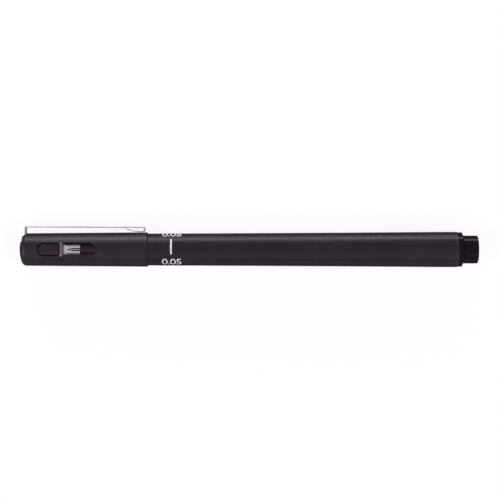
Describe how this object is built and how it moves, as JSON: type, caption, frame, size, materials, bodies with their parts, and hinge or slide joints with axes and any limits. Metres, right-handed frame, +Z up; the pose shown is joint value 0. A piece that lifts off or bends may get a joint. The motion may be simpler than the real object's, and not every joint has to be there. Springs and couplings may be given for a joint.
{
  "type": "fineliner pen",
  "caption": "Capped fineliner pen with a gently swelling barrel, a snap cap with a spring steel clip and a clear window over its steel-sleeved nib, and a tail post that takes the cap.",
  "frame": {"origin": "on the surface that the pen lies on, under the middle of its box", "axes": "+X along the pen from the cap's crown towards the tail, +Y across the pen towards its clip, +Z up with the window seen in the picture on top"},
  "size_m": [0.142, 0.0128, 0.0109],
  "materials": {
    "body_plastic": "fine satin moulded plastic, dark charcoal",
    "plug_plastic": "glossy black moulded plastic",
    "clip_steel": "bright rolled spring steel",
    "sleeve_steel": "bright drawn steel tube",
    "clear_plastic": "clear moulded plastic",
    "nib_plastic": "black extruded plastic point",
    "reservoir_fibre": "bundled fibre soaked with black ink",
    "film_plastic": "thin plastic film"
  },
  "bodies": {
    "pen": {"barrel": "body_plastic", "tail_plug": "plug_plastic", "grip_section": "plug_plastic", "nib_holder": "plug_plastic", "nib_sleeve": "sleeve_steel", "nib_core": "nib_plastic", "ink_reservoir": "reservoir_fibre", "reservoir_film": "film_plastic"},
    "cap": {"cap_shell": "body_plastic", "cap_crown": "body_plastic", "inner_cap": "clear_plastic"},
    "clip": {"clip": "clip_steel"}
  },
  "joints": [
    {"name": "cap_pull", "type": "slide", "parent": "pen", "child": "cap", "axis": [-1, 0, 0], "range_m": [0, 0.04]},
    {"name": "clip_flex", "type": "hinge", "parent": "cap", "child": "clip", "pos_m": [-0.06925, 0.00301, 0.00546], "axis": [0, 0, 1], "range_deg": [0, 4.5], "stiffness_Nm_per_rad": 0.3}
  ]
}
